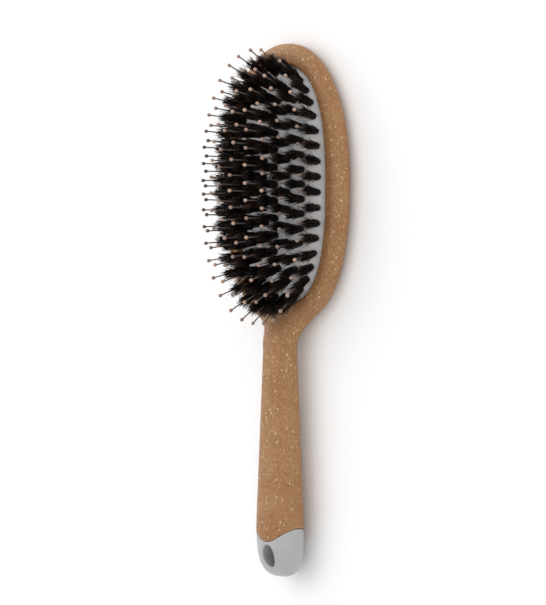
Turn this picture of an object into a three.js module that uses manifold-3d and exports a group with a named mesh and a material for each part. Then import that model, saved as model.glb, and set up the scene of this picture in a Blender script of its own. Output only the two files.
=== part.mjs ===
// Paddle hair brush with a pneumatic cushion, lying on its back.
// Millimetres. +Z is the bristle side, +Y runs from the handle end to the head tip, X is across.
import * as THREE from "three";
import Module from "manifold-3d";

// overall
const LENGTH = 240;
const Y_END = -LENGTH / 2;
const GAP = 0.3; // clearance between neighbouring pieces

// head frame
const HEAD_Y = 56.2; // centre of the oval
const HEAD_LEN = 63.8; // half length
const HEAD_WID = 37.8; // half width
const OVAL_POWER = 2.35; // roundness of the oval toward the handle
const TIP_POWER = 2.15; // and toward the tip
const HEAD_THICK = 10.2;
const EDGE_R = HEAD_THICK / 2;

// neck and handle
const NECK_TOP = 4.4; // where the outline leaves the oval
const NECK_Y = -19;
const NECK_WID = 8.15; // half width
const NECK_HIGH = 7.2; // half thickness
const RAMP_TOP = -2.7; // the handle starts rising from the head here
const RAMP_END = -16;
const GRIP_WID = 12.35;
const GRIP_HIGH = 8.9;
const GRIP_Y = Y_END + 24;
const HANDLE_Z = 9.5;
const END_LEN = 17;
const END_ROUND = 10.5; // how far the very end draws in as it rounds over
const TAPER_LEN = 20;
const TAPER_DROP = 1.1;
const TAPER_THIN = 2.2;

// joint between body and end cap
const JOINT_MID = 16.2; // from the handle end, on the centre line
const JOINT_SIDE = 23; // toward the sides
const JOINT_FLAT = 0.5;
const JOINT_OUT = 15.5;
const SPIGOT = { wide: 7.2, high: 5, length: 18 };
const HOLE = { wide: 3.5, long: 5.1, y: Y_END + 9.6 };

// cushion opening and pocket in the head
const OPEN_Y = 56.2;
const OPEN_WID = 28.7; // half width
const OPEN_LEN = 54; // half length
const OPEN_POWER = 2.7; // roundness toward the handle
const OPEN_TIP_POWER = 2.5; // and toward the tip
const FLOOR_Z = 2;
const GROOVE_Z = 3.3;
const GROOVE_HIGH = 2.2;
const GROOVE_DEEP = 1.2;

// carrier plate
const PLATE_THICK = 1.2;
const PLATE_EDGE_HIGH = 1.5;
const PLATE_EDGE_WIDE = 1.3;

// rubber cushion
const APEX_Z = 19;
const DOME_RISE = 11.6;
const RUBBER = 2;
const SKIRT = 1.5;
const VENT_R = 0.8;
const VENT_Y = OPEN_Y - 47.7;

// tufts and pins
const ROWS = 5; // concentric rows
const ROW_INSET = 3.85;
const ROW_PITCH = 6.2;
const TUFT_PITCH = 6.95;
const TUFT_CROWD = 0.36; // how much closer the tufts stand at the two ends
const TUFT_SIDES = 5;
const SHAFT_R = 1.1;
const TUFT_TIP_R = 2.1;
const TUFT_LEN = 14;
const PIN_R = 0.32;
const BALL_R = 0.85;
const PIN_LEN_MID = 22.6;
const PIN_LEN_EDGE = 19.1;
const HOLE_IN_R = SHAFT_R + GAP;
const ANCHOR_DEPTH = 3.6;
const BAR_WIDE = 2.2;
const BAR_THICK = 0.9;
const FAN_ACROSS = 20; // degrees at the edge of the opening
const FAN_TIP = 40; // at the tip of the opening
const FAN_NECK = 51; // at its handle end
const LEVELS = [0.13, 0.36, 0.53, 0.72, 0.92]; // share of the dome height

const wasm = await Module();
wasm.setup();

const lerp = (a, b, t) => a + (b - a) * t;
const clamp01 = (t) => Math.min(1, Math.max(0, t));
const ease = (t) => clamp01(t) ** 2 * (3 - 2 * clamp01(t));
const headPower = (along) => (along > 0 ? TIP_POWER : OVAL_POWER);
const openPower = (along) => (along > 0 ? OPEN_TIP_POWER : OPEN_POWER);
const signPow = (v, p) => Math.sign(v) * Math.abs(v) ** p;
const radians = (deg) => (deg * Math.PI) / 180;

/** A closed body through rings of equal count, each mirrored in x about its first point. */
function loft(rings) {
  const n = rings[0].length;
  const pts = rings.flat();
  const tris = [];
  for (let r = 0; r + 1 < rings.length; r++) {
    for (let i = 0; i < n; i++) {
      const a = r * n + i;
      const b = r * n + ((i + 1) % n);
      tris.push(a, b, b + n, a, b + n, a + n);
    }
  }
  zipCap(tris, n, 0, false);
  zipCap(tris, n, (rings.length - 1) * n, true);
  return toSolid(pts, tris);
}

/** Closes a mirrored ring with strips across it. */
function zipCap(tris, n, base, up) {
  const put = (a, b, c) => tris.push(base + a, base + (up ? b : c), base + (up ? c : b));
  put(0, 1, n - 1);
  for (let i = 1; i < Math.floor((n - 1) / 2); i++) {
    put(i, i + 1, n - i - 1);
    put(i, n - i - 1, n - i);
  }
  const h = Math.floor((n - 1) / 2);
  if (n % 2 === 0) put(h, h + 1, n - h);
}

function toSolid(pts, tris) {
  const verts = new Float32Array(pts.flat());
  return new wasm.Manifold(
    new wasm.Mesh({ numProp: 3, vertProperties: verts, triVerts: new Uint32Array(tris) }),
  );
}

/** Counterclockwise oval ring at height z, seen from above, starting at its far tip. */
function ovalRing(cy, wid, len, z, count, power) {
  const ring = [];
  for (let i = 0; i < count; i++) {
    const t = (2 * Math.PI * i) / count;
    const p = 2 / (power ?? openPower(Math.cos(t)));
    ring.push([-wid * signPow(Math.sin(t), p), cy + len * signPow(Math.cos(t), p), z]);
  }
  return ring;
}

/** Oval prism between two heights. */
function ovalBlock(cy, wid, len, z0, z1, count, power) {
  return loft([ovalRing(cy, wid, len, z0, count, power), ovalRing(cy, wid, len, z1, count, power)]);
}

/** Outline of the whole brush on the x < 0 side, from the head tip to the handle end.
 *  Each point has an inner point, toward which the rounded edge draws in. */
function outline() {
  const points = [...headOutline(), ...neckOutline(), ...gripOutline(), ...endOutline()];
  return points.map(({ p, q }) => ({ p: [-p[0], p[1]], q: [-q[0], q[1]] }));
}

function headPoint(t) {
  const power = headPower(Math.cos(t));
  const x = HEAD_WID * signPow(Math.sin(t), 2 / power);
  const y = HEAD_Y + HEAD_LEN * signPow(Math.cos(t), 2 / power);
  const gx = (x / HEAD_WID) ** (power - 1) / HEAD_WID;
  const gy = signPow((y - HEAD_Y) / HEAD_LEN, power - 1) / HEAD_LEN;
  const g = Math.hypot(gx, gy);
  return { x, y, nx: gx / g, ny: gy / g };
}

function headEndAngle() {
  const c = (HEAD_Y - NECK_TOP) / HEAD_LEN;
  return Math.PI - Math.acos(c ** (OVAL_POWER / 2));
}

function headOutline() {
  const last = headEndAngle();
  const count = 27;
  const points = [];
  for (let i = 0; i < count; i++) {
    const { x, y, nx, ny } = headPoint((last * i) / count);
    points.push({ p: [x, y], q: [x - nx * EDGE_R, y - ny * EDGE_R] });
  }
  return points;
}

function neckOutline() {
  const s = headPoint(headEndAngle());
  const p1 = [s.x + 11 * s.ny, s.y - 11 * s.nx];
  const p2 = [NECK_WID, -5];
  const p3 = [NECK_WID, NECK_Y];
  const count = 9;
  const points = [];
  for (let i = 0; i < count; i++) {
    const t = i / count;
    const u = 1 - t;
    const bez = (k) =>
      u ** 3 * [s.x, s.y][k] + 3 * u * u * t * p1[k] + 3 * u * t * t * p2[k] + t ** 3 * p3[k];
    const [x, y] = [bez(0), bez(1)];
    const w = ease(t);
    const inX = lerp(s.nx * EDGE_R, x, w);
    const inY = lerp(s.ny * EDGE_R, 0, w);
    points.push({ p: [x, y], q: [x - inX, y - inY] });
  }
  return points;
}

function gripWidth(y) {
  return lerp(NECK_WID, GRIP_WID, clamp01((NECK_Y - y) / (NECK_Y - GRIP_Y)));
}

function gripOutline() {
  const points = [];
  const stop = Y_END + END_LEN;
  const count = 10;
  for (let i = 0; i < count; i++) {
    const y = lerp(NECK_Y, stop, i / count);
    points.push({ p: [gripWidth(y), y], q: [0, y] });
  }
  return points;
}

function endOutline() {
  const cy = Y_END + END_LEN;
  const count = 9;
  const points = [];
  for (let i = 0; i <= count; i++) {
    const t = (Math.PI / 2) * (i / count);
    const x = i === count ? 0 : GRIP_WID * Math.cos(t) ** (2 / 3);
    const y = END_LEN * Math.sin(t) ** (2 / 2.6);
    const keep = 1 - lerp(GRIP_WID, END_ROUND, i / count) / Math.max(GRIP_WID, Math.hypot(x, y));
    points.push({ p: [x, cy - y], q: [x * keep, cy - y * keep] });
  }
  return points;
}

/** Middle height and half thickness of the brush at a place along it. */
function thickness(y) {
  const up = ease((RAMP_TOP - y) / (RAMP_TOP - RAMP_END));
  const along = clamp01((NECK_Y - y) / (NECK_Y - GRIP_Y));
  const grip = lerp(NECK_HIGH, GRIP_HIGH, along);
  const s = clamp01((Y_END + TAPER_LEN - y) / TAPER_LEN) ** 1.2;
  const mid = lerp(EDGE_R, HANDLE_Z, up) - TAPER_DROP * s;
  return { mid, half: lerp(EDGE_R, grip, up) - TAPER_THIN * s };
}

/** Head, neck, handle and cap as one rounded solid. */
function wholeBody() {
  const side = outline();
  const far = side.slice(1, -1).reverse();
  const loop = [...side, ...far.map(({ p, q }) => ({ p: [-p[0], p[1]], q: [-q[0], q[1]] }))];
  const top = radians(76);
  const steps = 8;
  const rings = [];
  for (let k = 0; k <= steps; k++) {
    const phi = lerp(-top, top, k / steps);
    rings.push(loop.map(({ p, q }) => edgePoint(p, q, phi, top)));
  }
  return loft(rings);
}

function edgePoint(p, q, phi, top) {
  const c = Math.cos(phi);
  const y = q[1] + (p[1] - q[1]) * c;
  const { mid, half } = thickness(y);
  return [q[0] + (p[0] - q[0]) * c, y, mid + (half * Math.sin(phi)) / Math.sin(top)];
}

/** Everything on the handle-end side of the wavy joint line, moved by an offset. */
function jointBlock(offset) {
  const wide = 20;
  const count = 24;
  const lower = [];
  const front = [];
  for (let i = 0; i <= count; i++) {
    const x = lerp(wide, -wide, i / count);
    const rise = ease((Math.abs(x) - JOINT_FLAT) / (JOINT_OUT - JOINT_FLAT));
    front.push([x, Y_END + lerp(JOINT_MID, JOINT_SIDE, rise) + offset]);
    lower.push([-x, Y_END - 5]);
  }
  const loop = [...front, ...lower];
  const half = front.length - 1;
  const turned = [...loop.slice(half / 2), ...loop.slice(0, half / 2)];
  return loft([turned.map(([x, y]) => [x, y, -5]), turned.map(([x, y]) => [x, y, 30])]);
}

/** Rounded bar along y, for the spigot and its bore. */
function tongue(wide, high, y0, y1) {
  const ring = (y, s) => {
    const points = [];
    for (let i = 0; i < 20; i++) {
      const t = (2 * Math.PI * i) / 20;
      const x = -wide * s * signPow(Math.sin(t), 0.6);
      points.push([x, y, HANDLE_Z + high * s * signPow(Math.cos(t), 0.6)]);
    }
    return points;
  };
  return loft([ring(y1, 0.9), ring(y1 - 0.8, 1), ring(y0, 1)]);
}

function endCap(whole) {
  const y0 = Y_END + JOINT_MID;
  const joined = whole
    .intersect(jointBlock(-GAP / 2))
    .add(tongue(SPIGOT.wide, SPIGOT.high, y0 - 1.5, y0 + SPIGOT.length));
  return joined.subtract(ovalBlock(HOLE.y, HOLE.wide, HOLE.long, -5, 30, 28, 2));
}

function brushBody(whole) {
  const y0 = Y_END + JOINT_MID;
  const bore = tongue(SPIGOT.wide + GAP, SPIGOT.high + GAP, y0 - 3, y0 + SPIGOT.length + 0.6);
  return whole.subtract(jointBlock(GAP / 2)).subtract(bore).subtract(pocket());
}

/** Pocket for the cushion, with the groove that holds its bead. */
function pocket() {
  const n = 60;
  const ring = (grow, z) => ovalRing(OPEN_Y, OPEN_WID + grow, OPEN_LEN + grow, z, n);
  const top = GROOVE_Z + GROOVE_HIGH;
  return loft([
    ring(0, FLOOR_Z),
    ring(0, GROOVE_Z),
    ring(GROOVE_DEEP, GROOVE_Z + 0.3),
    ring(GROOVE_DEEP, top - 0.3),
    ring(0, top),
    ring(0, HEAD_THICK - 0.7),
    ring(0.7, HEAD_THICK + 0.02),
    ring(0.7, HEAD_THICK + 4),
  ]);
}

/** Plate under the cushion with a raised edge inside the rubber skirt. */
function carrierPlate() {
  const n = 40;
  const z = FLOOR_Z + GAP;
  const out = GAP * 2 + SKIRT;
  const ring = (inset, at) => ovalRing(OPEN_Y, OPEN_WID - inset, OPEN_LEN - inset, at, n);
  return loft([
    ring(out, z),
    ring(out, z + PLATE_EDGE_HIGH),
    ring(out + PLATE_EDGE_WIDE, z + PLATE_EDGE_HIGH),
    ring(out + PLATE_EDGE_WIDE, z + PLATE_THICK),
  ]);
}

/** Height of the cushion at a place, and how far out it is as a share of the opening. */
function domeShare(x, y) {
  const power = openPower(y - OPEN_Y);
  const a = Math.abs(x / OPEN_WID) ** power;
  const b = Math.abs((y - OPEN_Y) / OPEN_LEN) ** power;
  return (a + b) ** (1 / power);
}

function domeHeight(x, y) {
  return APEX_Z - DOME_RISE * domeShare(x, y) ** 2;
}

function cushionPad(tufts) {
  const n = 36;
  const edge = APEX_Z - DOME_RISE;
  const ring = (inset, z) => ovalRing(OPEN_Y, OPEN_WID - inset, OPEN_LEN - inset, z, n);
  const scaled = (share, drop) => {
    const z = APEX_Z - DOME_RISE * share ** 2 - drop;
    return ovalRing(OPEN_Y, OPEN_WID * share, OPEN_LEN * share, z, n);
  };
  const shares = [0.9, 0.7, 0.48, 0.28, 0.1];
  const under = [0.88, 0.64, 0.38, 0.12];
  const foot = GROOVE_Z + GAP;
  const beadTop = GROOVE_Z + GROOVE_HIGH - GAP - 0.15;
  const inner = GAP + SKIRT;
  const shell = loft([
    ...under.map((s) => scaled(s, RUBBER)).reverse(),
    ring(inner, edge - RUBBER + 0.9),
    ring(inner, foot),
    ring(GAP, foot),
    ring(GAP - GROOVE_DEEP + 0.3, foot + 0.25),
    ring(GAP - GROOVE_DEEP + 0.3, beadTop - 0.25),
    ring(GAP, beadTop),
    ring(GAP, edge - 0.3),
    ring(GAP + 0.5, edge + 0.25),
    ...shares.map((s) => scaled(s, 0)),
  ]);
  return shell.subtract(holes(tufts));
}

/** All holes through the rubber as one cutter: a square one for each tuft and the vent. */
function holes(tufts) {
  const pts = [];
  const tris = [];
  const r = HOLE_IN_R * Math.SQRT2;
  for (const { base, dir } of [...tufts, vent()]) {
    const wide = base[1] === VENT_Y ? VENT_R : r;
    prism(pts, tris, base, dir, [[-4, wide], [3, wide]], 4, false);
  }
  return toSolid(pts, tris);
}

function vent() {
  return { base: [0, VENT_Y, domeHeight(0, VENT_Y)], dir: [0, 0, 1] };
}

/** Adds a solid of revolution about dir at base; a profile is [distance along, radius]. */
function prism(pts, tris, base, dir, profile, sides, pointed) {
  const w = new THREE.Vector3(...dir);
  const u = new THREE.Vector3(0, 1, 0).cross(w).normalize();
  const v = w.clone().cross(u);
  const start = pts.length;
  for (const [s, r] of profile) {
    for (let i = 0; i < sides; i++) {
      const t = (2 * Math.PI * (i + 0.5)) / sides;
      const p = new THREE.Vector3(...base).addScaledVector(w, s);
      p.addScaledVector(u, r * Math.cos(t)).addScaledVector(v, r * Math.sin(t));
      pts.push([p.x, p.y, p.z]);
    }
  }
  for (let k = 0; k + 1 < profile.length; k++) {
    for (let i = 0; i < sides; i++) {
      const a = start + k * sides + i;
      const b = start + k * sides + ((i + 1) % sides);
      tris.push(a, b, b + sides, a, b + sides, a + sides);
    }
  }
  for (let i = 1; i + 1 < sides; i++) tris.push(start, start + i + 1, start + i);
  const last = start + (profile.length - 1) * sides;
  if (pointed) return last;
  for (let i = 1; i + 1 < sides; i++) tris.push(last, last + i, last + i + 1);
  return last;
}

/** Which way a tuft leans: outward, more so near the edge. */
function lean(x, y) {
  const across = clamp01(Math.abs(x) / OPEN_WID);
  const along = clamp01(Math.abs(y - OPEN_Y) / OPEN_LEN);
  const ax = Math.sign(x) * radians(FAN_ACROSS) * (1 - (1 - across) ** 1.5);
  const fan = y > OPEN_Y ? FAN_TIP : -FAN_NECK;
  const ay = radians(fan) * along ** 3;
  return new THREE.Vector3(Math.tan(ax), Math.tan(ay), 1).normalize().toArray();
}

/** Places evenly spaced along one concentric row, staggered against the rows beside it. */
function rowPlaces(row) {
  const inset = ROW_INSET + ROW_PITCH * row;
  const wid = OPEN_WID - inset;
  const len = OPEN_LEN - inset;
  if (wid < 1) return linePlaces(len);
  const fine = ovalRing(OPEN_Y, wid, len, 0, 720).map(([x, y]) => [x, y]);
  const steps = fine.map((p, i) => {
    const q = fine[(i + 1) % fine.length];
    const crowd = 1 + TUFT_CROWD * Math.abs((p[1] - OPEN_Y) / OPEN_LEN) ** 4;
    return Math.hypot(q[0] - p[0], q[1] - p[1]) * crowd;
  });
  const total = steps.reduce((a, b) => a + b, 0);
  const odd = row % 2 === 0 ? 0 : 2;
  const count = 4 * Math.round((total / TUFT_PITCH - odd) / 4) + odd;
  return walk(fine, steps, total / count, 0.5, count);
}

function linePlaces(len) {
  const half = Math.floor(len / TUFT_PITCH + 0.5);
  const places = [];
  for (let i = 0; i < 2 * half; i++) places.push([0, OPEN_Y + (half - 0.5 - i) * TUFT_PITCH]);
  return places;
}

function walk(fine, steps, pitch, phase, count) {
  const places = [];
  let gone = 0;
  let k = 0;
  for (let i = 0; i < count; i++) {
    const want = (i + phase) * pitch;
    while (gone + steps[k] < want) gone += steps[k++];
    const t = (want - gone) / steps[k];
    const a = fine[k];
    const b = fine[(k + 1) % fine.length];
    places.push([lerp(a[0], b[0], t), lerp(a[1], b[1], t)]);
  }
  return places;
}

function tuftAt([x, y]) {
  const share = domeShare(x, y);
  return { base: [x, y, domeHeight(x, y)], dir: lean(x, y), rise: 1 - share ** 2, share };
}

/** Tufts of all rows, in groups of neighbours that share one anchor strip. */
function tuftGroups() {
  const groups = [];
  for (let row = 0; row < ROWS; row++) {
    const tufts = rowPlaces(row).map(tuftAt);
    const parts = Math.ceil(tufts.length / (row < 2 ? 4 : 3));
    for (let g = 0; g < parts; g++) {
      const from = Math.round((tufts.length * g) / parts);
      const to = Math.round((tufts.length * (g + 1)) / parts);
      groups.push(tufts.slice(from, to));
    }
  }
  return groups;
}

/** One bristle tuft with its ball-tipped pin. */
function tuftSolid({ base, dir, share }) {
  const pts = [];
  const tris = [];
  const pin = lerp(PIN_LEN_MID, PIN_LEN_EDGE, share);
  const profile = [
    [BAR_THICK / 2 - ANCHOR_DEPTH, SHAFT_R],
    [0, SHAFT_R],
    [TUFT_LEN, TUFT_TIP_R],
    [TUFT_LEN + 0.8, PIN_R],
    [pin - BALL_R * 1.9, PIN_R],
    [pin - BALL_R, BALL_R],
  ];
  const last = prism(pts, tris, base, dir, profile, TUFT_SIDES, true);
  const tip = new THREE.Vector3(...base).addScaledVector(new THREE.Vector3(...dir), pin);
  pts.push(tip.toArray());
  for (let i = 0; i < TUFT_SIDES; i++) {
    tris.push(last + i, last + ((i + 1) % TUFT_SIDES), pts.length - 1);
  }
  return toSolid(pts, tris);
}

/** Flat bar behind the rubber through the anchors of neighbouring tufts. */
function anchorBar(tufts) {
  const at = tufts.map(anchor);
  const last = at.length - 1;
  const rings = at.map((p, i) => {
    const along = at[Math.min(i + 1, last)].clone().sub(at[Math.max(i - 1, 0)]).normalize();
    const side = new THREE.Vector3(0, 0, 1).cross(along).normalize();
    const up = along.clone().cross(side);
    const end = (i === last ? 1 : 0) - (i === 0 ? 1 : 0);
    const c = p.clone().addScaledVector(along, (end * BAR_WIDE) / 2);
    const corner = (s, t) =>
      c.clone().addScaledVector(side, (s * BAR_WIDE) / 2).addScaledVector(up, (t * BAR_THICK) / 2);
    return [corner(1, 1), corner(1, -1), corner(-1, -1), corner(-1, 1)].map((v) => v.toArray());
  });
  return loft(rings.reverse());
}

function anchor({ base, dir }) {
  const depth = -ANCHOR_DEPTH + BAR_THICK / 2;
  return new THREE.Vector3(...base).addScaledVector(new THREE.Vector3(...dir), depth);
}

function tuftStrip(tufts) {
  return tufts.reduce((solid, tuft) => solid.add(tuftSolid(tuft)), anchorBar(tufts));
}

function nearestLevel(tufts) {
  const rise = tufts.reduce((sum, t) => sum + t.rise, 0) / tufts.length;
  const off = LEVELS.map((v) => Math.abs(v - rise));
  return off.indexOf(Math.min(...off)) + 1;
}

function toMesh(solid, name, color, roughness) {
  const { vertProperties, triVerts, numProp } = solid.getMesh();
  const position = new Float32Array((vertProperties.length / numProp) * 3);
  for (let i = 0; i < position.length / 3; i++) {
    for (let k = 0; k < 3; k++) position[3 * i + k] = vertProperties[numProp * i + k];
  }
  const geometry = new THREE.BufferGeometry();
  geometry.setAttribute("position", new THREE.BufferAttribute(position, 3));
  geometry.setIndex(new THREE.BufferAttribute(new Uint32Array(triVerts), 1));
  geometry.computeVertexNormals();
  const material = new THREE.MeshStandardMaterial({ color, roughness, metalness: 0 });
  const mesh = new THREE.Mesh(geometry, material);
  mesh.name = name;
  return mesh;
}

function build() {
  const group = new THREE.Group();
  group.name = "paddle_brush";
  const whole = wholeBody();
  const groups = tuftGroups();
  group.add(toMesh(brushBody(whole), "brush_body", "#b48b66", 0.7));
  group.add(toMesh(endCap(whole), "end_cap", "#b9b8b8", 0.4));
  group.add(toMesh(carrierPlate(), "carrier_plate", "#8e8c8a", 0.55));
  group.add(toMesh(cushionPad(groups.flat()), "cushion_pad", "#bdbcbe", 0.65));
  const counts = LEVELS.map(() => 0);
  for (const tufts of groups) {
    const level = nearestLevel(tufts);
    const number = String(++counts[level - 1]).padStart(2, "0");
    group.add(toMesh(tuftStrip(tufts), `tufts_level${level}_${number}`, "#221a17", 0.6));
  }
  return group;
}

export default build();
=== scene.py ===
"""Paddle hair brush with a pneumatic cushion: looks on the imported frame.

Metres. +Z is the bristle side, +Y the head tip.
"""
import math
import random

import bmesh
import bpy
import numpy as np
from mathutils import Matrix, Vector


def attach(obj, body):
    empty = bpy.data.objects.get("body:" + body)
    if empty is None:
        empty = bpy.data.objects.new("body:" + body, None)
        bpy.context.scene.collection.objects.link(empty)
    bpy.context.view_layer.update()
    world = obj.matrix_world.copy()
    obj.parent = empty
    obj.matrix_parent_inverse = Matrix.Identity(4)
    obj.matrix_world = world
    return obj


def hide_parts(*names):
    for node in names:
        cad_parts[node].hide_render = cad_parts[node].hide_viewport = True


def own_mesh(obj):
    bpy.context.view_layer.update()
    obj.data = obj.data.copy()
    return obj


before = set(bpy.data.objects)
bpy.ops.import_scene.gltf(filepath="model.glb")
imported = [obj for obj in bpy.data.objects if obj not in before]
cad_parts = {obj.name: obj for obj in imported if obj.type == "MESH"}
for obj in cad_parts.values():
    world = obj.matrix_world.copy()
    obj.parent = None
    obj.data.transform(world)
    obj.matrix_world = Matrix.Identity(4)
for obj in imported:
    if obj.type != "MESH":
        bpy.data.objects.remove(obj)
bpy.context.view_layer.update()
rng = random.Random(11)
MM = 0.001

# dimensions of the frame, in millimetres
Y_END, HEAD_Y, HEAD_LEN, HEAD_WID = -120, 56.2, 63.8, 37.8
OVAL_POWER, TIP_POWER = 2.35, 2.15
HEAD_THICK, EDGE_R = 10.2, 5.1
NECK_TOP, NECK_Y, NECK_WID, NECK_HIGH = 4.4, -19, 8.15, 7.2
RAMP_TOP, RAMP_END = -2.7, -16
GRIP_WID, GRIP_HIGH, GRIP_Y, HANDLE_Z = 12.35, 8.9, -96, 9.5
END_LEN, END_ROUND, TAPER_LEN, TAPER_DROP, TAPER_THIN = 17, 10.5, 20, 1.1, 2.2
JOINT_MID, JOINT_SIDE, JOINT_FLAT, JOINT_OUT = 16.2, 23, 0.5, 15.5
HOLE_WIDE, HOLE_LONG, HOLE_Y = 3.5, 5.1, -110.4
OPEN_Y, OPEN_WID, OPEN_LEN = 56.2, 28.7, 54
OPEN_POWER, OPEN_TIP_POWER = 2.7, 2.5
APEX_Z, DOME_RISE = 19, 11.6
ROWS, ROW_INSET, ROW_PITCH, TUFT_PITCH, TUFT_CROWD = 5, 3.85, 6.2, 6.95, 0.36
FAN_ACROSS, FAN_TIP, FAN_NECK = 20, 40, 51
PIN_LEN_MID, PIN_LEN_EDGE, TUFT_LEN, BALL_R = 22.6, 19.1, 14, 0.85
LEVELS = [0.13, 0.36, 0.53, 0.72, 0.92]

# sizes of the looks alone, in millimetres
JOINT_GAP = 0.12
BORE_WIDE, BORE_HIGH = 7.5, 5.3
SPIGOT_WIDE, SPIGOT_HIGH = 7.2, 5
BRISTLES, BRISTLE_RING = 150, 1.48
STRAY_SHARE = 0.16
OUTLINE_STEPS, FINE_STEPS = 260, 720

# the picture: its height in steps, and the metres that one step covers at the handle
VIEW_TALL, VIEW_STEP, VIEW_AWAY = 605, 0.00045, 1.40
VIEW_TURN = 46  # degrees about the length
VIEW_UP, VIEW_LEFT = 274, 7  # steps from the end of the handle to the middle of the picture


def lerp(a, b, t):
    return a + (b - a) * t


def clamp01(t):
    return min(1.0, max(0.0, t))


def ease(t):
    t = clamp01(t)
    return t * t * (3 - 2 * t)


def sign_pow(v, p):
    return math.copysign(abs(v) ** p, v)


def head_power(along):
    return TIP_POWER if along > 0 else OVAL_POWER


def open_power(along):
    return OPEN_TIP_POWER if along > 0 else OPEN_POWER


# ---------- mesh helpers ----------


def make_object(name, verts, faces):
    mesh = bpy.data.meshes.new(name)
    mesh.from_pydata([tuple(c * MM for c in v) for v in verts], [], faces)
    mesh.validate()
    mesh.update()
    mesh.polygons.foreach_set("use_smooth", [True] * len(mesh.polygons))
    obj = bpy.data.objects.new(name, mesh)
    bpy.context.scene.collection.objects.link(obj)
    return obj


def loft(name, rings):
    """Closed solid through rings of equal count, each mirrored in x about its first point."""
    n = len(rings[0])
    verts = [p for ring in rings for p in ring]
    faces = []
    for r in range(len(rings) - 1):
        for i in range(n):
            j = (i + 1) % n
            faces.append((r * n + i, r * n + j, (r + 1) * n + j, (r + 1) * n + i))
    last = (len(rings) - 1) * n
    for i in range((n - 1) // 2 + 1):
        cap = list(dict.fromkeys([i, i + 1, (n - i - 1) % n, (n - i) % n]))
        if len(cap) > 2:
            faces.append(tuple(reversed(cap)))
            faces.append(tuple(last + k for k in cap))
    return make_object(name, verts, faces)


def weld(obj, distance=2e-6):
    bm = bmesh.new()
    bm.from_mesh(obj.data)
    bmesh.ops.remove_doubles(bm, verts=bm.verts, dist=distance)
    bmesh.ops.dissolve_degenerate(bm, edges=bm.edges, dist=1e-7)
    bmesh.ops.recalc_face_normals(bm, faces=bm.faces)
    bm.to_mesh(obj.data)
    bm.free()
    return obj


def apply_modifiers(obj):
    graph = bpy.context.evaluated_depsgraph_get()
    mesh = bpy.data.meshes.new_from_object(obj.evaluated_get(graph), depsgraph=graph)
    obj.modifiers.clear()
    obj.data = mesh
    return obj


def boolean(obj, cutter, how="DIFFERENCE"):
    mod = obj.modifiers.new("cut", "BOOLEAN")
    mod.operation, mod.solver, mod.object = how, "EXACT", cutter
    apply_modifiers(obj)
    bpy.data.objects.remove(cutter)
    return obj


def copy_of(obj, name):
    new = obj.copy()
    new.data = obj.data.copy()
    new.name = name
    bpy.context.scene.collection.objects.link(new)
    return new


def remesh(obj, voxel, rounds):
    mod = obj.modifiers.new("remesh", "REMESH")
    mod.mode, mod.voxel_size, mod.use_smooth_shade = "VOXEL", voxel * MM, True
    mod = obj.modifiers.new("soften", "SMOOTH")
    mod.factor, mod.iterations = 0.5, rounds
    return apply_modifiers(obj)


def smooth_by_angle(obj, degrees=32):
    mesh = obj.data
    mesh.polygons.foreach_set("use_smooth", [True] * len(mesh.polygons))
    bm = bmesh.new()
    bm.from_mesh(mesh)
    for edge in bm.edges:
        edge.smooth = len(edge.link_faces) == 2 and edge.calc_face_angle(0) < math.radians(degrees)
    bm.to_mesh(mesh)
    bm.free()
    mod = obj.modifiers.new("weighted", "WEIGHTED_NORMAL")
    mod.keep_sharp, mod.weight = True, 80
    return apply_modifiers(obj)


# ---------- brush body and end cap ----------


def head_point(t):
    power = head_power(math.cos(t))
    x = HEAD_WID * sign_pow(math.sin(t), 2 / power)
    y = HEAD_Y + HEAD_LEN * sign_pow(math.cos(t), 2 / power)
    gx = (max(x, 0) / HEAD_WID) ** (power - 1) / HEAD_WID
    gy = sign_pow((y - HEAD_Y) / HEAD_LEN, power - 1) / HEAD_LEN
    g = math.hypot(gx, gy)
    return x, y, gx / g, gy / g


def head_end():
    return math.pi - math.acos(((HEAD_Y - NECK_TOP) / HEAD_LEN) ** (OVAL_POWER / 2))


def half_outline(head=96, neck=36, grip=30, end=28):
    points = []
    for i in range(head):
        x, y, nx, ny = head_point(head_end() * i / head)
        points.append((x, y, x - nx * EDGE_R, y - ny * EDGE_R))
    sx, sy, nx, ny = head_point(head_end())
    p1, p2, p3 = (sx + 11 * ny, sy - 11 * nx), (NECK_WID, -5), (NECK_WID, NECK_Y)
    for i in range(neck):
        t = i / neck
        u = 1 - t
        x, y = (
            u**3 * a + 3 * u * u * t * b + 3 * u * t * t * c + t**3 * d
            for a, b, c, d in zip((sx, sy), p1, p2, p3)
        )
        w = ease(t)
        points.append((x, y, x - lerp(nx * EDGE_R, x, w), y - lerp(ny * EDGE_R, 0, w)))
    for i in range(grip):
        y = lerp(NECK_Y, Y_END + END_LEN, i / grip)
        along = clamp01((NECK_Y - y) / (NECK_Y - GRIP_Y))
        points.append((lerp(NECK_WID, GRIP_WID, along), y, 0, y))
    cy = Y_END + END_LEN
    for i in range(end + 1):
        t = math.pi / 2 * i / end
        x = 0 if i == end else GRIP_WID * math.cos(t) ** (2 / 3)
        y = END_LEN * math.sin(t) ** (2 / 2.6)
        keep = 1 - lerp(GRIP_WID, END_ROUND, i / end) / max(GRIP_WID, math.hypot(x, y))
        points.append((x, cy - y, x * keep, cy - y * keep))
    return points


def thickness(y):
    up = ease((RAMP_TOP - y) / (RAMP_TOP - RAMP_END))
    along = clamp01((NECK_Y - y) / (NECK_Y - GRIP_Y))
    s = clamp01((Y_END + TAPER_LEN - y) / TAPER_LEN) ** 1.2
    mid = lerp(EDGE_R, HANDLE_Z, up) - TAPER_DROP * s
    return mid, lerp(EDGE_R, lerp(NECK_HIGH, GRIP_HIGH, along), up) - TAPER_THIN * s


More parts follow.
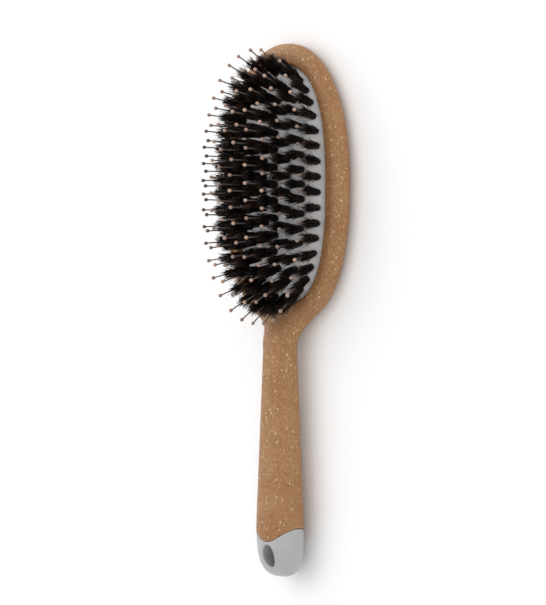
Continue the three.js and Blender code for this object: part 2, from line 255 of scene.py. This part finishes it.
def whole_body():
    side = [(-x, y, -qx, qy) for x, y, qx, qy in half_outline()]
    far = [(-x, y, -qx, qy) for x, y, qx, qy in reversed(side[1:-1])]
    steps = 40
    rings = []
    for k in range(steps + 1):
        phi = lerp(-math.pi / 2, math.pi / 2, k / steps)
        c = math.cos(phi) if 0 < k < steps else 0.0
        ring = []
        for x, y, qx, qy in side + far:
            py = qy + (y - qy) * c
            mid, half = thickness(py)
            ring.append((qx + (x - qx) * c, py, mid + half * math.sin(phi)))
        rings.append(ring)
    return weld(loft("whole", rings))


def oval_ring(cy, wid, length, z, count, power=None):
    ring = []
    for i in range(count):
        t = 2 * math.pi * i / count
        p = 2 / (power or open_power(math.cos(t)))
        ring.append((-wid * sign_pow(math.sin(t), p), cy + length * sign_pow(math.cos(t), p), z))
    return ring


def pocket_cutter():
    lip = 1.35
    rings = [oval_ring(OPEN_Y, OPEN_WID, OPEN_LEN, z, OUTLINE_STEPS) for z in (2.0, 6.0)]
    for k in range(9):
        a = math.radians(84) * k / 8
        grow, z = lip * (1 - math.cos(a)), HEAD_THICK - lip + lip * math.sin(a)
        rings.append(oval_ring(OPEN_Y, OPEN_WID + grow, OPEN_LEN + grow, z, OUTLINE_STEPS))
    for z in (HEAD_THICK + 0.03, 16):
        rings.append(oval_ring(OPEN_Y, OPEN_WID + lip + 0.1, OPEN_LEN + lip + 0.1, z, OUTLINE_STEPS))
    return loft("pocket", rings)


def joint_cutter(offset):
    count = 120
    front, lower = [], []
    for i in range(count + 1):
        x = lerp(20, -20, i / count)
        rise = ease((abs(x) - JOINT_FLAT) / (JOINT_OUT - JOINT_FLAT))
        front.append((x, Y_END + lerp(JOINT_MID, JOINT_SIDE, rise) + offset))
        lower.append((-x, Y_END - 5))
    loop = front + lower
    loop = loop[count // 2:] + loop[:count // 2]
    return loft("joint", [[(x, y, z) for x, y in loop] for z in (-5, 30)])


def plug(name, wide, high, stations):
    """Rounded oblong solid along the handle, through (distance past the joint, share of full size)."""
    rings = []
    for past, share in stations:
        ring = []
        for i in range(48):
            t = 2 * math.pi * i / 48
            x = -wide * share * sign_pow(math.sin(t), 0.6)
            z = HANDLE_Z + high * share * sign_pow(math.cos(t), 0.6)
            ring.append((x, Y_END + JOINT_MID + past, z))
        rings.append(ring)
    return loft(name, rings)


def bore_cutter():
    return plug("bore", BORE_WIDE, BORE_HIGH, ((18.6, 0.9), (17.8, 1), (-3, 1)))


def spigot():
    return plug("spigot", SPIGOT_WIDE, SPIGOT_HIGH, ((18, 0.9), (17.2, 1), (-1.5, 1)))


def hole_cutter():
    return loft("hole", [oval_ring(HOLE_Y, HOLE_WIDE, HOLE_LONG, z, 96, 2) for z in (-6, 30)])


def build_shells():
    whole = whole_body()
    cap = copy_of(whole, "end_cap_shell")
    boolean(cap, joint_cutter(-JOINT_GAP), "INTERSECT")
    boolean(cap, spigot(), "UNION")
    boolean(cap, hole_cutter())
    remesh(cap, 0.22, 5)
    boolean(whole, joint_cutter(JOINT_GAP))
    boolean(whole, bore_cutter())
    boolean(whole, pocket_cutter())
    whole.name = "composite_body"
    smooth_by_angle(whole)
    return whole, cap


# ---------- cushion ----------


def dome_share(x, y):
    power = open_power(y - OPEN_Y)
    return (abs(x / OPEN_WID) ** power + abs((y - OPEN_Y) / OPEN_LEN) ** power) ** (1 / power)


def dome_height(x, y):
    return APEX_Z - DOME_RISE * dome_share(x, y) ** 2


def lean(x, y):
    across, along = clamp01(abs(x) / OPEN_WID), clamp01(abs(y - OPEN_Y) / OPEN_LEN)
    ax = math.copysign(math.radians(FAN_ACROSS) * (1 - (1 - across) ** 1.5), x) if x else 0.0
    ay = math.radians(FAN_TIP if y > OPEN_Y else -FAN_NECK) * along**3
    return Vector((math.tan(ax), math.tan(ay), 1)).normalized()


def row_places(row):
    inset = ROW_INSET + ROW_PITCH * row
    wid, length = OPEN_WID - inset, OPEN_LEN - inset
    if wid < 1:
        half = math.floor(length / TUFT_PITCH + 0.5)
        return [(0.0, OPEN_Y + (half - 0.5 - i) * TUFT_PITCH) for i in range(2 * half)]
    fine = [(x, y) for x, y, _ in oval_ring(OPEN_Y, wid, length, 0, FINE_STEPS)]
    crowd = [1 + TUFT_CROWD * abs((y - OPEN_Y) / OPEN_LEN) ** 4 for _, y in fine]
    steps = [math.dist(p, fine[(i + 1) % FINE_STEPS]) * crowd[i] for i, p in enumerate(fine)]
    total = sum(steps)
    odd = 0 if row % 2 == 0 else 2
    count = 4 * math.floor((total / TUFT_PITCH - odd) / 4 + 0.5) + odd
    places, gone, k = [], 0.0, 0
    for i in range(count):
        want = (i + 0.5) * total / count
        while gone + steps[k] < want:
            gone += steps[k]
            k += 1
        t = (want - gone) / steps[k]
        a, b = fine[k], fine[(k + 1) % FINE_STEPS]
        places.append((lerp(a[0], b[0], t), lerp(a[1], b[1], t)))
    return places


def tuft_groups():
    """{node name: [(x, y), ...]}, in the frame's own grouping."""
    named, counts = {}, [0] * len(LEVELS)
    for row in range(ROWS):
        places = row_places(row)
        parts = math.ceil(len(places) / (4 if row < 2 else 3))
        for g in range(parts):
            cut = [math.floor(len(places) * (g + k) / parts + 0.5) for k in (0, 1)]
            group = places[cut[0]:cut[1]]
            rise = sum(1 - dome_share(*p) ** 2 for p in group) / len(group)
            off = [abs(v - rise) for v in LEVELS]
            level = off.index(min(off))
            counts[level] += 1
            named[f"tufts_level{level + 1}_{counts[level]:02d}"] = group
    return named


def build_cushion(places):
    """Domed skin with a small collar and dimple at each tuft, and a skirt that goes into the head."""
    around, deep = 300, 110
    feet = np.array(places)
    rings = []
    for k in range(deep + 1):
        share = 0.004 + 0.996 * (k / deep)
        rings.append(oval_ring(OPEN_Y, (OPEN_WID - 0.3) * share, (OPEN_LEN - 0.3) * share, 0, around))
    pts = np.array(rings, float).reshape(-1, 3)
    for p in pts:
        share = dome_share(p[0], p[1])
        edge = max(0.0, (share - 0.955) / 0.045)
        d = np.hypot(feet[:, 0] - p[0], feet[:, 1] - p[1]).min()
        collar = 0.16 * math.exp(-(((d - 2.15) / 0.62) ** 2)) - 0.45 * math.exp(-((d / 1.5) ** 2))
        p[2] = APEX_Z - DOME_RISE * share**2 + collar - 0.5 * edge**2
    rings = [list(map(tuple, r)) for r in pts.reshape(deep + 1, around, 3)]
    rings.reverse()
    skirt = []
    for inset, z in ((1.8, 4.0), (0.3, 3.7), (-0.5, 4.0), (-0.5, 4.8), (0.3, 5.1), (0.3, 6.4)):
        skirt.append(oval_ring(OPEN_Y, OPEN_WID - inset, OPEN_LEN - inset, z, around))
    under = []
    for s in (0.05, 0.3, 0.5, 0.7, 0.85, 1.0):
        z = APEX_Z - 2 - DOME_RISE * (s * 0.95) ** 2
        under.append(oval_ring(OPEN_Y, (OPEN_WID - 1.8) * s, (OPEN_LEN - 1.8) * s, z, around))
    obj = loft("rubber_cushion", under + skirt + rings)
    return weld(obj, 1e-7)


# ---------- tufts and pins ----------


class Soup:
    """Collects tubes into one mesh, with a material number for each face and a shade for each point."""

    def __init__(self):
        self.verts, self.faces, self.mats, self.shade = [], [], [], []

    def tube(self, path, radii, sides, mat, shade, spin=0.0):
        start = len(self.verts)
        for k, (p, r) in enumerate(zip(path, radii)):
            w = (path[min(k + 1, len(path) - 1)] - path[max(k - 1, 0)]).normalized()
            u = w.cross(Vector((0.3, 1, 0.2))).normalized()
            v = w.cross(u)
            for i in range(sides):
                t = spin + 2 * math.pi * i / sides
                self.verts.append(p + u * (r * math.cos(t)) + v * (r * math.sin(t)))
                self.shade.append(shade)
        for k in range(len(path) - 1):
            for i in range(sides):
                a, b = start + k * sides + i, start + k * sides + (i + 1) % sides
                self.faces.append((a, b, b + sides, a + sides))
                self.mats.append(mat)
        last = start + (len(path) - 1) * sides
        self.faces.append(tuple(last + i for i in range(sides)))
        self.faces.append(tuple(start + i for i in reversed(range(sides))))
        self.mats += [mat, mat]

    def make(self, name, materials):
        obj = make_object(name, self.verts, self.faces)
        for m in materials:
            obj.data.materials.append(m)
        obj.data.polygons.foreach_set("material_index", self.mats)
        layer = obj.data.attributes.new("shade", "FLOAT", "POINT")
        layer.data.foreach_set("value", self.shade)
        return obj


def bristles(soup, base, axis, count):
    u = axis.cross(Vector((0, 1, 0.1))).normalized()
    v = axis.cross(u)
    for _ in range(count):
        a, q = rng.uniform(0, 2 * math.pi), math.sqrt(rng.uniform(0, 1))
        out = u * math.cos(a) + v * math.sin(a)
        side = axis.cross(out)
        stray = rng.random() < STRAY_SHARE
        length = TUFT_LEN * rng.triangular(0.66, 1.07, 1.0) * (1.03 - 0.1 * q * q)
        spread = rng.gauss(0.82, 0.65) * q + (rng.uniform(0.5, 1.9) if stray else 0)
        twist, bow = rng.gauss(0, 0.5), rng.gauss(0, 0.3)
        root = base + out * (q * BRISTLE_RING) - axis * 0.7
        path = []
        for k in range(5):
            s = k / 4
            along = axis * (length * s)
            sway = out * (spread * s * s + bow * math.sin(math.pi * s))
            path.append(root + along + sway + side * (twist * s**1.6))
        r = rng.uniform(0.1, 0.16)
        # The shade value drawn here picks the bristles that get a painted brown glint in bristle_material.
        soup.tube(path, [r, r, r * 0.92, r * 0.8, r * 0.45], 3, 0, rng.random(), rng.uniform(0, 2))


def pin(soup, base, axis, length, shade):
    ball = BALL_R
    nod = Vector((rng.gauss(0, 0.012), rng.gauss(0, 0.012), 0))
    axis = (axis + nod).normalized()
    top = length - 2 * ball
    shaft = [base + axis * s for s in (-1.0, 0.0, top * 0.5, top + 0.5)]
    soup.tube(shaft, [0.36, 0.34, 0.3, 0.28], 8, 1, shade)
    path, radii = [], []
    for k in range(9):
        a = math.pi * k / 8
        path.append(base + axis * (length - ball - ball * 1.04 * math.cos(a)))
        radii.append(max(0.04, ball * math.sin(a) ** 0.92 if 0 < k < 8 else 0.05))
    path[0] = base + axis * (top - 0.25)
    radii[0] = 0.3
    soup.tube(path, radii, 12, 2, shade)


def anchors(soup, group):
    """Plug through the rubber at each tuft and the bar that ties the plugs behind it."""
    ends = []
    for x, y in group:
        base, axis = Vector((x, y, dome_height(x, y))), lean(x, y)
        stem = [base - axis * s for s in (3.55, 3.3, 0.3, 0.1)]
        soup.tube(stem, [0.9, 1.05, 1.05, 0.95], 10, 1, 0.2)
        ends.append(base - axis * 3.15)
    first, last = ends[0], ends[-1]
    lead = (ends[1] - ends[0]).normalized() * 1.2
    tail = (ends[-1] - ends[-2]).normalized() * 1.2
    path = [first - lead, *ends, last + tail]
    soup.tube(path, [0.75] * len(path), 8, 1, 0.2)


def build_tufts(name, group, materials):
    soup = Soup()
    for x, y in group:
        base, axis = Vector((x, y, dome_height(x, y))), lean(x, y)
        wobble = Vector((rng.gauss(0, 0.022), rng.gauss(0, 0.022), 0))
        bristles(soup, base, (axis + wobble).normalized(), BRISTLES)
        share = dome_share(x, y)
        # Painted shade: pins in the outer rows near the middle of the head get darker balls and shafts; the
        # rest of the spread is random tone.
        painted_shade = clamp01((share - 0.55) / 0.1) * clamp01((30 - abs(y - OPEN_Y)) / 12)
        ball_tone_and_shade = rng.uniform(0.5, 1.0) * (1 - 0.75 * painted_shade)
        pin(soup, base, axis, lerp(PIN_LEN_MID, PIN_LEN_EDGE, share), ball_tone_and_shade)
    anchors(soup, group)
    return soup.make(name, materials)


# ---------- materials ----------


class Nodes:
    """A short way to write a node tree."""

    def __init__(self, name):
        self.mat = bpy.data.materials.new(name)
        self.mat.use_nodes = True
        self.tree = self.mat.node_tree
        self.bsdf = self.tree.nodes["Principled BSDF"]

    def add(self, kind, **values):
        node = self.tree.nodes.new(kind)
        for key, value in values.items():
            setattr(node, key, value)
        return node

    def link(self, a, b):
        self.tree.links.new(a, b)

    def coords(self, scale=(1, 1, 1), rotation=(0, 0, 0)):
        tc = self.add("ShaderNodeTexCoord")
        mapping = self.add("ShaderNodeMapping")
        mapping.inputs["Scale"].default_value = scale
        mapping.inputs["Rotation"].default_value = rotation
        self.link(tc.outputs["Object"], mapping.inputs["Vector"])
        return mapping.outputs["Vector"]

    def noise(self, scale, detail=3.0, rough=0.55):
        n = self.add("ShaderNodeTexNoise")
        n.inputs["Scale"].default_value = scale
        n.inputs["Detail"].default_value = detail
        n.inputs["Roughness"].default_value = rough
        self.link(self.coords(), n.inputs["Vector"])
        return n.outputs["Fac"]

    def ramp(self, fac, low, high, a=0.0, b=1.0):
        n = self.add("ShaderNodeMapRange")
        n.interpolation_type = "SMOOTHSTEP"
        for key, value in (("From Min", low), ("From Max", high), ("To Min", a), ("To Max", b)):
            n.inputs[key].default_value = value
        self.link(fac, n.inputs["Value"])
        return n.outputs["Result"]

    def math(self, op, a, b=0.0):
        n = self.add("ShaderNodeMath", operation=op)
        for k, v in enumerate((a, b)):
            if isinstance(v, (int, float)):
                n.inputs[k].default_value = v
            else:
                self.link(v, n.inputs[k])
        return n.outputs[0]

    def mix(self, fac, a, b, blend="MIX"):
        n = self.add("ShaderNodeMix", data_type="RGBA", blend_type=blend)
        for key, v in ((0, fac), (6, a), (7, b)):
            if isinstance(v, (int, float, tuple)):
                n.inputs[key].default_value = v
            else:
                self.link(v, n.inputs[key])
        return n.outputs[2]

    def bump(self, height, strength, distance):
        n = self.add("ShaderNodeBump")
        n.inputs["Strength"].default_value = strength
        n.inputs["Distance"].default_value = distance
        self.link(height, n.inputs["Height"])
        return n.outputs["Normal"]

    def flecks(self, cell, share, size, stretch=(1, 1, 1), turn=(0, 0, 0), ragged=0.0006):
        """Mask of scattered flecks: one in some of the cells, of uneven size and outline."""
        base = self.coords(stretch, turn)
        wob = self.add("ShaderNodeTexNoise")
        wob.inputs["Scale"].default_value = 900
        self.link(base, wob.inputs["Vector"])
        shift = self.add("ShaderNodeVectorMath", operation="MULTIPLY_ADD")
        self.link(wob.outputs["Color"], shift.inputs[0])
        shift.inputs[1].default_value = (ragged,) * 3
        self.link(base, shift.inputs[2])
        v = self.add("ShaderNodeTexVoronoi")
        v.inputs["Scale"].default_value = 1 / cell
        self.link(shift.outputs[0], v.inputs["Vector"])
        split = self.add("ShaderNodeSeparateColor")
        self.link(v.outputs["Color"], split.inputs[0])
        present = self.ramp(split.outputs[0], 1 - share, 1 - share * 0.4)
        reach = self.math("MULTIPLY", present, size)
        inside = self.math("SUBTRACT", reach, v.outputs["Distance"])
        return self.ramp(inside, -0.02, 0.05), split.outputs[1]


def srgb(r, g, b):
    def one(c):
        c /= 255
        return c / 12.92 if c <= 0.04045 else ((c + 0.055) / 1.055) ** 2.4
    return (one(r), one(g), one(b), 1)


def composite_material():
    n = Nodes("flecked_composite")
    broad = n.ramp(n.noise(55, 3), 0.3, 0.7)
    colour = n.mix(broad, srgb(148, 103, 62), srgb(163, 120, 77))
    fine = n.ramp(n.noise(900, 5, 0.7), 0.32, 0.7)
    colour = n.mix(n.math("MULTIPLY", fine, 0.6), colour, srgb(134, 90, 50))
    grain = n.ramp(n.noise(1500, 3, 0.6), 0.55, 0.72)
    colour = n.mix(n.math("MULTIPLY", grain, 0.55), colour, srgb(186, 146, 102))
    speck, _ = n.flecks(0.00075, 0.5, 0.42)
    colour = n.mix(n.math("MULTIPLY", speck, 0.6), colour, srgb(192, 154, 112))
    dark, _ = n.flecks(0.0011, 0.3, 0.34, turn=(0.4, 0.7, 0.2))
    colour = n.mix(n.math("MULTIPLY", dark, 0.5), colour, srgb(110, 70, 38))
    fleck, tone = n.flecks(0.0015, 0.26, 0.36, stretch=(1.5, 0.8, 1.1), turn=(0.2, 0.1, 0.9))
    chip = n.mix(tone, srgb(184, 146, 104), srgb(212, 182, 144))
    colour = n.mix(n.math("MULTIPLY", fleck, 0.8), colour, chip)
    long, slant = (1.9, 0.7, 1.4), (0.1, 0.3, -0.35)
    straw, tone = n.flecks(0.0029, 0.13, 0.22, stretch=long, turn=slant, ragged=0.0009)
    stalk = n.mix(tone, srgb(200, 168, 126), srgb(220, 194, 158))
    colour = n.mix(n.math("MULTIPLY", straw, 0.85), colour, stalk)
    n.link(colour, n.bsdf.inputs["Base Color"])
    rough = n.ramp(n.noise(340, 3), 0.2, 0.8, 0.42, 0.58)
    n.link(rough, n.bsdf.inputs["Roughness"])
    height = n.math("ADD", n.math("MULTIPLY", n.noise(1500, 4, 0.65), 0.6), n.math("MULTIPLY", fleck, -0.25))
    n.link(n.bump(height, 0.4, 0.00014), n.bsdf.inputs["Normal"])
    n.bsdf.inputs["IOR"].default_value = 1.46
    return n.mat


def cap_material():
    n = Nodes("grey_cap_plastic")
    colour = n.mix(n.ramp(n.noise(90, 2), 0.3, 0.7), srgb(166, 166, 165), srgb(173, 173, 172))
    speck, _ = n.flecks(0.0016, 0.1, 0.2)
    colour = n.mix(n.math("MULTIPLY", speck, 0.25), colour, srgb(156, 154, 152))
    n.link(colour, n.bsdf.inputs["Base Color"])
    n.link(n.ramp(n.noise(400, 3), 0.2, 0.8, 0.27, 0.38), n.bsdf.inputs["Roughness"])
    n.link(n.bump(n.noise(2400, 3, 0.6), 0.1, 0.00005), n.bsdf.inputs["Normal"])
    return n.mat


def rubber_material():
    n = Nodes("grey_cushion_rubber")
    colour = n.mix(n.ramp(n.noise(110, 3), 0.3, 0.7), srgb(219, 217, 216), srgb(229, 227, 226))
    dust, _ = n.flecks(0.0014, 0.2, 0.28)
    colour = n.mix(n.math("MULTIPLY", dust, 0.35), colour, srgb(236, 234, 233))
    n.link(colour, n.bsdf.inputs["Base Color"])
    n.link(n.ramp(n.noise(500, 3), 0.2, 0.8, 0.52, 0.7), n.bsdf.inputs["Roughness"])
    fine = n.math("MULTIPLY", n.noise(2600, 3, 0.6), 0.4)
    height = n.math("ADD", fine, n.math("MULTIPLY", n.noise(420, 2), 0.6))
    n.link(n.bump(height, 0.4, 0.00012), n.bsdf.inputs["Normal"])
    n.bsdf.inputs["Sheen Weight"].default_value = 0.12
    return n.mat


def bristle_material():
    n = Nodes("bristle_fibre")
    shade = n.add("ShaderNodeAttribute", attribute_name="shade")
    # Painted highlight: bristles whose shade value is near 1 turn brown, standing in for glints of light on
    # the black fibres.
    colour = n.mix(n.ramp(shade.outputs["Fac"], 0.76, 1.0), srgb(6, 5, 5), srgb(86, 54, 32))
    streak = n.noise(900, 2)
    colour = n.mix(n.math("MULTIPLY", n.ramp(streak, 0.6, 0.8), 0.5), colour, srgb(96, 64, 38))
    n.link(colour, n.bsdf.inputs["Base Color"])
    n.link(n.ramp(shade.outputs["Fac"], 0, 1, 0.5, 0.38), n.bsdf.inputs["Roughness"])
    n.bsdf.inputs["Specular IOR Level"].default_value = 0.16
    n.link(n.bump(n.noise(4000, 2), 0.15, 0.00002), n.bsdf.inputs["Normal"])
    return n.mat


def pin_material():
    n = Nodes("pin_nylon")
    shade = n.add("ShaderNodeAttribute", attribute_name="shade")
    # The shaft darkens a little with the same value: random tone, plus painted shade in the outer rows near
    # mid-length.
    colour = n.mix(shade.outputs["Fac"], srgb(34, 27, 25), srgb(58, 44, 38))
    colour = n.mix(n.math("MULTIPLY", n.noise(700, 2), 0.3), colour, srgb(80, 62, 54))
    n.link(colour, n.bsdf.inputs["Base Color"])
    n.link(n.ramp(n.noise(900, 2), 0.2, 0.8, 0.26, 0.4), n.bsdf.inputs["Roughness"])
    return n.mat


def ball_material():
    n = Nodes("pin_ball")
    shade = n.add("ShaderNodeAttribute", attribute_name="shade")
    # The dark end of this mix is painted shade on balls of the outer rows near mid-length; the rest is
    # random pale tone.
    colour = n.mix(shade.outputs["Fac"], srgb(50, 38, 33), srgb(186, 158, 140))
    colour = n.mix(n.math("MULTIPLY", n.noise(1400, 3), 0.35), colour, srgb(140, 106, 88))
    n.link(colour, n.bsdf.inputs["Base Color"])
    n.link(n.ramp(n.noise(1100, 2), 0.2, 0.8, 0.24, 0.38), n.bsdf.inputs["Roughness"])
    n.bsdf.inputs["Subsurface Weight"].default_value = 0.15
    n.bsdf.inputs["Subsurface Scale"].default_value = 0.0006
    n.bsdf.inputs["Subsurface Radius"].default_value = (1.0, 0.5, 0.35)
    return n.mat


def inner_material():
    n = Nodes("carrier_plastic")
    colour = n.mix(n.ramp(n.noise(150, 3), 0.3, 0.7), srgb(140, 138, 136), srgb(156, 154, 152))
    n.link(colour, n.bsdf.inputs["Base Color"])
    n.link(n.ramp(n.noise(500, 2), 0.2, 0.8, 0.45, 0.6), n.bsdf.inputs["Roughness"])
    n.link(n.bump(n.noise(1800, 3), 0.15, 0.00006), n.bsdf.inputs["Normal"])
    return n.mat


def paint(obj, material):
    obj.data.materials.clear()
    obj.data.materials.append(material)


# ---------- assembly ----------


def build_brush():
    body, cap = build_shells()
    paint(body, composite_material())
    paint(cap, cap_material())
    for obj, node, slot in ((body, "brush_body", "composite"), (cap, "end_cap", "grey_plastic")):
        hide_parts(node)
        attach(obj, "body")
    groups = tuft_groups()
    cushion = build_cushion([p for g in groups.values() for p in g])
    paint(cushion, rubber_material())
    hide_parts("cushion_pad")
    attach(cushion, "body")
    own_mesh(cushion)
    fibres = [bristle_material(), pin_material(), ball_material()]
    for name, group in groups.items():
        obj = build_tufts(name.replace("tufts", "bristles"), group, fibres)
        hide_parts(name)
        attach(obj, "tuft_level_" + name[len("tufts_level")])
    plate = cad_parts["carrier_plate"]
    for slot in plate.material_slots:
        slot.material = inner_material()


def build_stage():
    mesh = bpy.data.meshes.new("floor")
    s, z = 3.0, -0.0006
    mesh.from_pydata([(-s, -s, z), (s, -s, z), (s, s, z), (-s, s, z)], [], [(0, 1, 2, 3)])
    floor = bpy.data.objects.new("floor", mesh)
    bpy.context.scene.collection.objects.link(floor)
    n = Nodes("pale_floor")
    colour = n.mix(n.noise(3, 2), (0.93, 0.93, 0.93, 1), (0.96, 0.96, 0.96, 1))
    n.link(colour, n.bsdf.inputs["Base Color"])
    n.bsdf.inputs["Roughness"].default_value = 0.9
    n.bsdf.inputs["Specular IOR Level"].default_value = 0.1
    paint(floor, n.mat)
    world = bpy.data.worlds.new("studio")
    world.use_nodes = True
    world.node_tree.nodes["Background"].inputs["Color"].default_value = (1, 1, 1, 1)
    world.node_tree.nodes["Background"].inputs["Strength"].default_value = 0.86
    bpy.context.scene.world = world


def lamp(name, place, aim, size, power):
    light = bpy.data.lights.new(name, "AREA")
    light.shape, light.size, light.energy = "SQUARE", size, power
    obj = bpy.data.objects.new(name, light)
    obj.location = place
    obj.rotation_euler = (Vector(aim) - Vector(place)).to_track_quat("-Z", "Y").to_euler()
    bpy.context.scene.collection.objects.link(obj)


def build_camera():
    """Camera turned from straight above the bristles, with the head pointing up in the picture."""
    turn = math.radians(VIEW_TURN)
    back = Vector((math.sin(turn), 0, math.cos(turn)))
    right = Vector((math.cos(turn), 0, -math.sin(turn)))
    up = Vector((0, 1, 0))
    cam = bpy.data.cameras.new("camera")
    cam.sensor_fit, cam.sensor_height = "VERTICAL", 36
    cam.lens = cam.sensor_height * VIEW_AWAY / (VIEW_TALL * VIEW_STEP)
    cam.clip_start, cam.clip_end = 0.01, 20
    obj = bpy.data.objects.new("camera", cam)
    aim = Vector((0, 0, HANDLE_Z * MM))
    aim += up * (Y_END * MM + VIEW_UP * VIEW_STEP) - right * (VIEW_LEFT * VIEW_STEP)
    obj.location = aim + back * VIEW_AWAY
    obj.rotation_mode = "QUATERNION"
    obj.rotation_quaternion = Matrix((right, up, back)).transposed().to_quaternion()
    bpy.context.scene.collection.objects.link(obj)
    bpy.context.scene.camera = obj


build_camera()
build_brush()
build_stage()
lamp("key", (-0.75, 0.7, 0.9), (0, 0.02, 0.01), 2.0, 12)
lamp("fill", (1.0, 0.3, 0.14), (0, 0, 0.01), 0.5, 1.6)
bpy.context.scene.view_settings.view_transform = "Standard"
